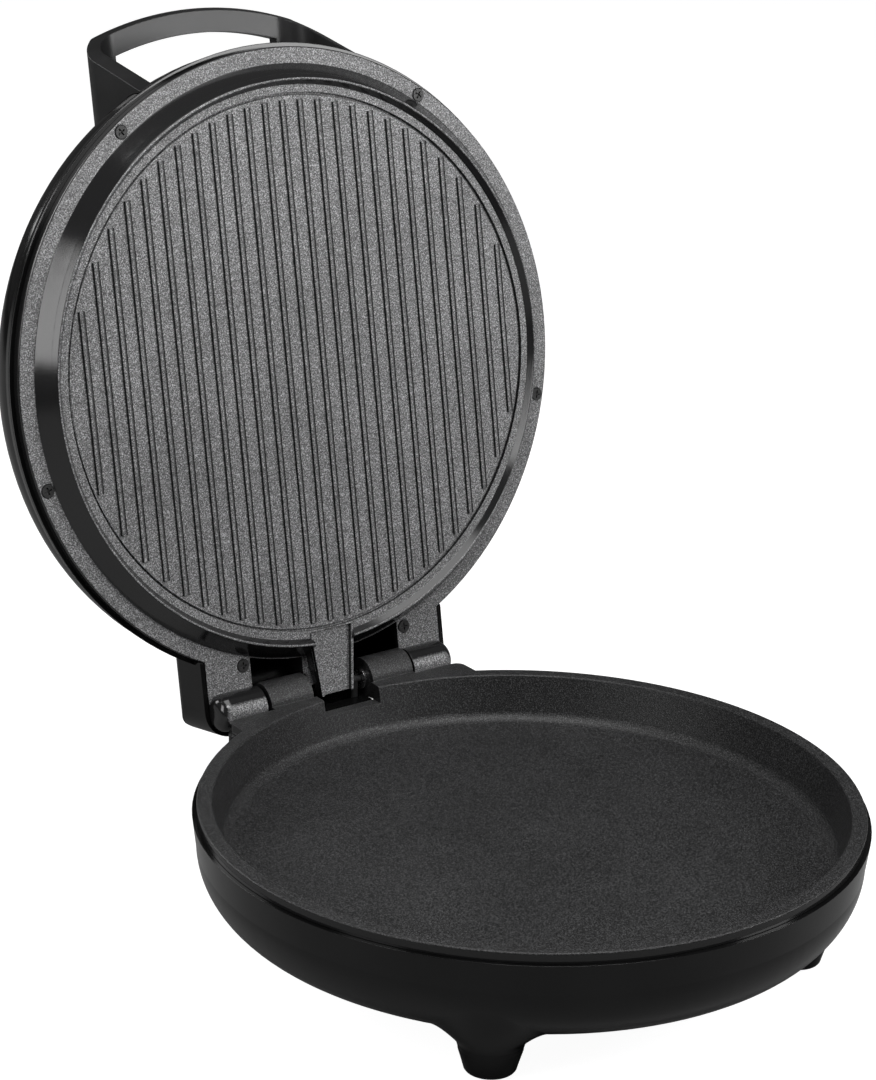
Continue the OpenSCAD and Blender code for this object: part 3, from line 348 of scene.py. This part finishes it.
# The rib's end: distances past its straight part, and the share of the height that is left there.
END_PAST = np.array([-1.2, 0.0, 0.6, 1.0, 1.25, 1.33, 1.6])
END_SHARE = np.array([1.0, 1.0, 0.99, 0.97, 0.9, 0.0, 0.0])
# Lines beyond the outer ribs, each as long as this share of the disc's chord there.
SIDE_X = np.array([140.3, 142.6, 144.4, 145.7])
SIDE_SHARE = 0.8
STRAIGHT_LINES = 8
# Height step between lines above which a face is painted in shade.
WALL_STEP = 0.25


def ribbed_face():
    """Disc with 25 ribs. Lines across x follow each rib's section: a steep side, a rounded top 1.4 high,
    the other side and a shallow groove beside it. Along y the lines gather at the rib's end,
    at sqrt(RIB_END_R ** 2 - x ** 2), where the height falls off over the last third of a millimetre."""
    beyond = np.zeros(len(SIDE_X))
    x = np.concatenate([-SIDE_X[::-1], (RIB_AT[:, None] + RIB_X).ravel(), SIDE_X])
    h = np.concatenate([beyond, np.tile(RIB_Z, len(RIB_AT)), beyond])
    reach = np.repeat(np.sqrt(RIB_END_R ** 2 - RIB_AT ** 2) - RIB_HALF, len(RIB_X))
    out = np.sqrt(np.maximum(SKIN_R ** 2 - SIDE_X ** 2, 0)) * SIDE_SHARE
    reach = np.concatenate([out[::-1], reach, out])
    rim = np.sqrt(SKIN_R ** 2 - x ** 2)
    reach = np.minimum(reach, rim - RIB_RIM_GAP)
    straight = np.linspace(0, 1, STRAIGHT_LINES + 1)[:-1]
    half = np.concatenate([straight[:, None] * (reach - RIB_HALF), reach + END_PAST[:, None],
                           (rim - 0.3)[None], rim[None]])
    fade = np.concatenate([np.ones(STRAIGHT_LINES), END_SHARE, [0, 0]])[:, None]
    y = np.concatenate([-half[::-1], half[1:]])
    fade = np.concatenate([fade[::-1], fade[1:]])
    z = SKIN_Z - np.where(h > 0, h * fade, h * (fade > 0))
    z[0] = z[-1] = SKIN_EDGE_Z
    points = lid_place(np.broadcast_to(x, y.shape), y, z).reshape(-1, 3)
    quads = grid_quads(*y.shape)
    # Faces that take the darker coating: painted shade on the ribs' steep sides and in the groove beside
    # each rib.
    dark = (np.abs(np.diff(h)) > WALL_STEP) | ((h[:-1] < 0) & (h[1:] < 0))
    dark = np.broadcast_to(dark[None] & (fade[:-1] > 0), (len(y) - 1, len(x) - 1)).ravel()
    parts = [(points, quads[~dark], 0), (points, quads[dark], 1)]
    return piece("ribbed_face", parts, "lid", [upper_coating, painted_shade_coating], sharp=30)


# The bowl's outer face and the feet, about the pan's centre.
BOWL_FLOOR_Z = 24.0
BOWL_FLAT_R = 138.3
BOWL_ARC_R = 34.0
BOWL_ARC_Z = 58.0
BOWL_LAST_R = 170.6
FOOT_AT = (PLATE_R - 32.0) * math.sqrt(0.5)
REAR_FOOT_AT = FOOT_AT + 9
FEET = ((-FOOT_AT, -FOOT_AT), (FOOT_AT, -FOOT_AT), (-FOOT_AT, REAR_FOOT_AT), (FOOT_AT, REAR_FOOT_AT))
# The foot's lower profile, from the pad's edge up the cone.
CONE_R = np.array([9.3, 11.4, 12.5, 13.05, 13.35, 14.2])
CONE_Z = np.array([0.8, 0.8, 1.05, 1.8, 2.9, 6.0])
# The blend: where it leaves the cone, how high it climbs and how far it spreads.
BLEND_R = 16.0
BLEND_Z = 12.0
BLEND_RISE = 12.08
BLEND_END_R = 31.0
LIFT_R = 17.0
# The cast foot's ledge, which the blend stays outside of.
LEDGE_R = 22.15
LEDGE_Z = 24.75
TURN_STEPS = 96
BLEND_STEPS = 18


def bowl_rise(r):
    """Height of the bowl's outer face over its flat floor: the arc's z0 - R sqrt(1 - s ** 2), with
    s = (r - BOWL_FLAT_R) / R."""
    along = np.clip((r - BOWL_FLAT_R) / BOWL_ARC_R, 0.0, 0.96)
    return BOWL_ARC_Z - BOWL_ARC_R * np.sqrt(1 - along ** 2) - BOWL_FLOOR_Z


def lift_share(distance, end):
    """Smooth step of the distance, t * t * (3 - 2 t): 0 at LIFT_R and 1 at the end."""
    t = np.clip((distance - LIFT_R) / (end - LIFT_R), 0.0, 1.0)
    return t * t * (3 - 2 * t)


def foot_flares():
    """Skin over each foot. Up the cone, then z = BLEND_Z + BLEND_RISE sin(phi) at the distance
    BLEND_R + (end - BLEND_R) (1 - cos(phi)), lifted by the bowl's own rise times share ** power, so
    that it lands on the bowl along the bowl's slope. The power is the least one that keeps the skin
    outside the cast foot's ledge."""
    a = np.linspace(0, 2 * np.pi, TURN_STEPS + 1)[:-1]
    phi = np.linspace(0, np.pi / 2, BLEND_STEPS + 1)[:, None]
    cone_shape = (len(CONE_R), TURN_STEPS)
    parts = []
    for fx, fy in FEET:
        def rise(distance):
            return bowl_rise(np.hypot(fx + distance * np.cos(a), fy + distance * np.sin(a)))

        along = fx * np.cos(a) + fy * np.sin(a)
        end = np.minimum(BLEND_END_R, np.sqrt(along ** 2 - fx * fx - fy * fy + BOWL_LAST_R ** 2) - along)
        spread = end - BLEND_R
        low = BLEND_Z + BLEND_RISE * np.sqrt(1 - (1 - (LEDGE_R - BLEND_R) / spread) ** 2)
        room = np.clip((LEDGE_Z - low) / np.maximum(rise(LEDGE_R), 0.01), 0.02, 0.98)
        power = np.maximum(1.0, np.log(room) / np.log(lift_share(LEDGE_R, end)))
        distance = BLEND_R + spread * (1 - np.cos(phi))
        height = BLEND_Z + BLEND_RISE * np.sin(phi) + rise(distance) * lift_share(distance, end) ** power
        reach = np.concatenate([np.broadcast_to(CONE_R[:, None], cone_shape), distance])
        height = np.concatenate([np.broadcast_to(CONE_Z[:, None], cone_shape), height])
        points = base_place(fx + reach * np.cos(a), fy + reach * np.sin(a), height).reshape(-1, 3)
        parts.append((points, grid_quads(*reach.shape, close_columns=True)[:, ::-1], 0))
    return piece("foot_flares", parts, "base", [black_plastic], sharp=60)


ribbed_face()
foot_flares()

# ---------------------------------------------------------------- room, light and camera


def photo_camera():
    """The photograph's camera: azimuth, height, roll and distance from its fit, a shift for the crop."""
    azimuth, height, roll = math.radians(-37.06), math.radians(19.88), math.radians(1.52)
    distance = 1.6038
    level = math.cos(height)
    back = Vector((math.sin(azimuth) * level, -math.cos(azimuth) * level, math.sin(height)))
    side = (-back).cross(Vector((0, 0, 1))).normalized()
    up = side.cross(-back)
    across = side * math.cos(roll) + up * math.sin(roll)
    upward = up * math.cos(roll) - side * math.sin(roll)
    target = Vector((11.79, 84.85 - FRAME_Y, 194.5)) / 1000
    place = target + back * distance
    camera = bpy.data.objects.new("camera", bpy.data.cameras.new("camera"))
    camera.matrix_world = Matrix.Translation(place) @ Matrix((across, upward, back)).transposed().to_4x4()
    camera.data.lens = 101.87
    camera.data.sensor_width = 36.0
    camera.data.shift_x = -0.01806
    camera.data.shift_y = -0.0036
    camera.data.clip_end = 50.0
    bpy.context.scene.collection.objects.link(camera)
    bpy.context.scene.camera = camera
    return camera


def lamp(name, place, target, size, tall, power):
    """A soft lamp, size wide and tall high, that faces its target; metres and watts."""
    data = bpy.data.lights.new(name, "AREA")
    data.energy = power
    data.shape = "RECTANGLE"
    data.size = size
    data.size_y = tall
    thing = bpy.data.objects.new(name, data)
    way = (Vector(target) - Vector(place)).to_track_quat("-Z", "Y").to_matrix().to_4x4()
    thing.matrix_world = Matrix.Translation(place) @ way
    thing.visible_camera = False
    bpy.context.scene.collection.objects.link(thing)
    return thing


def studio_floor():
    """A flat pale floor, white in the camera's own view but for the object's shadow."""
    data = bpy.data.meshes.new("floor")
    half = 6.0
    data.from_pydata([(-half, -half, 0), (half, -half, 0), (half, half, 0), (-half, half, 0)],
                     [], [(0, 1, 2, 3)])
    floor = bpy.data.objects.new("floor", data)
    bpy.context.scene.collection.objects.link(floor)
    look = Look("pale floor", Base_Color=(0.3, 0.3, 0.3, 1), Roughness=0.9, Specular_IOR_Level=0.1)
    path = look.add("ShaderNodeLightPath", {}, {}, out="Is Camera Ray")
    look.shader.inputs["Emission Color"].default_value = (1, 1, 1, 1)
    look.plug(look.shader.inputs["Emission Strength"], 0.96 * path)
    data.materials.append(look.material)
    return floor


def studio_world():
    """Dim even light all round; the camera itself sees white past the floor."""
    world = bpy.data.worlds.new("studio")
    bpy.context.scene.world = world
    world.use_nodes = True
    tree = world.node_tree
    ground = tree.nodes["Background"]
    ground.inputs["Color"].default_value = (1, 1, 1, 1)
    path = tree.nodes.new("ShaderNodeLightPath")
    seen = tree.nodes.new("ShaderNodeMapRange")
    tree.links.new(path.outputs["Is Camera Ray"], seen.inputs["Value"])
    seen.inputs["To Min"].default_value = 0.07
    seen.inputs["To Max"].default_value = 1.0
    tree.links.new(seen.outputs["Result"], ground.inputs["Strength"])


bpy.context.scene.view_settings.view_transform = "Standard"
photo_camera()
studio_floor()
studio_world()
# name, place, target, width, height, watts
for settings in (
    ("overhead", (0.0, -0.15, 1.5), (0.0, -0.05, 0.1), 1.0, 1.0, 9),
    ("front right", (0.72, -0.86, 0.60), (0.0, 0.15, 0.42), 0.40, 0.36, 6.2),
    ("above the front", (-0.1, -0.5, 0.95), (0.0, 0.1, 0.42), 0.7, 0.25, 5.0),
    ("left", (-1.9, -0.1, 1.1), (0.0, 0.0, 0.25), 0.7, 1.3, 12),
    ("rear left", (-0.9, 1.6, 1.0), (0.0, 0.1, 0.2), 1.2, 0.8, 14),
):
    lamp(*settings)
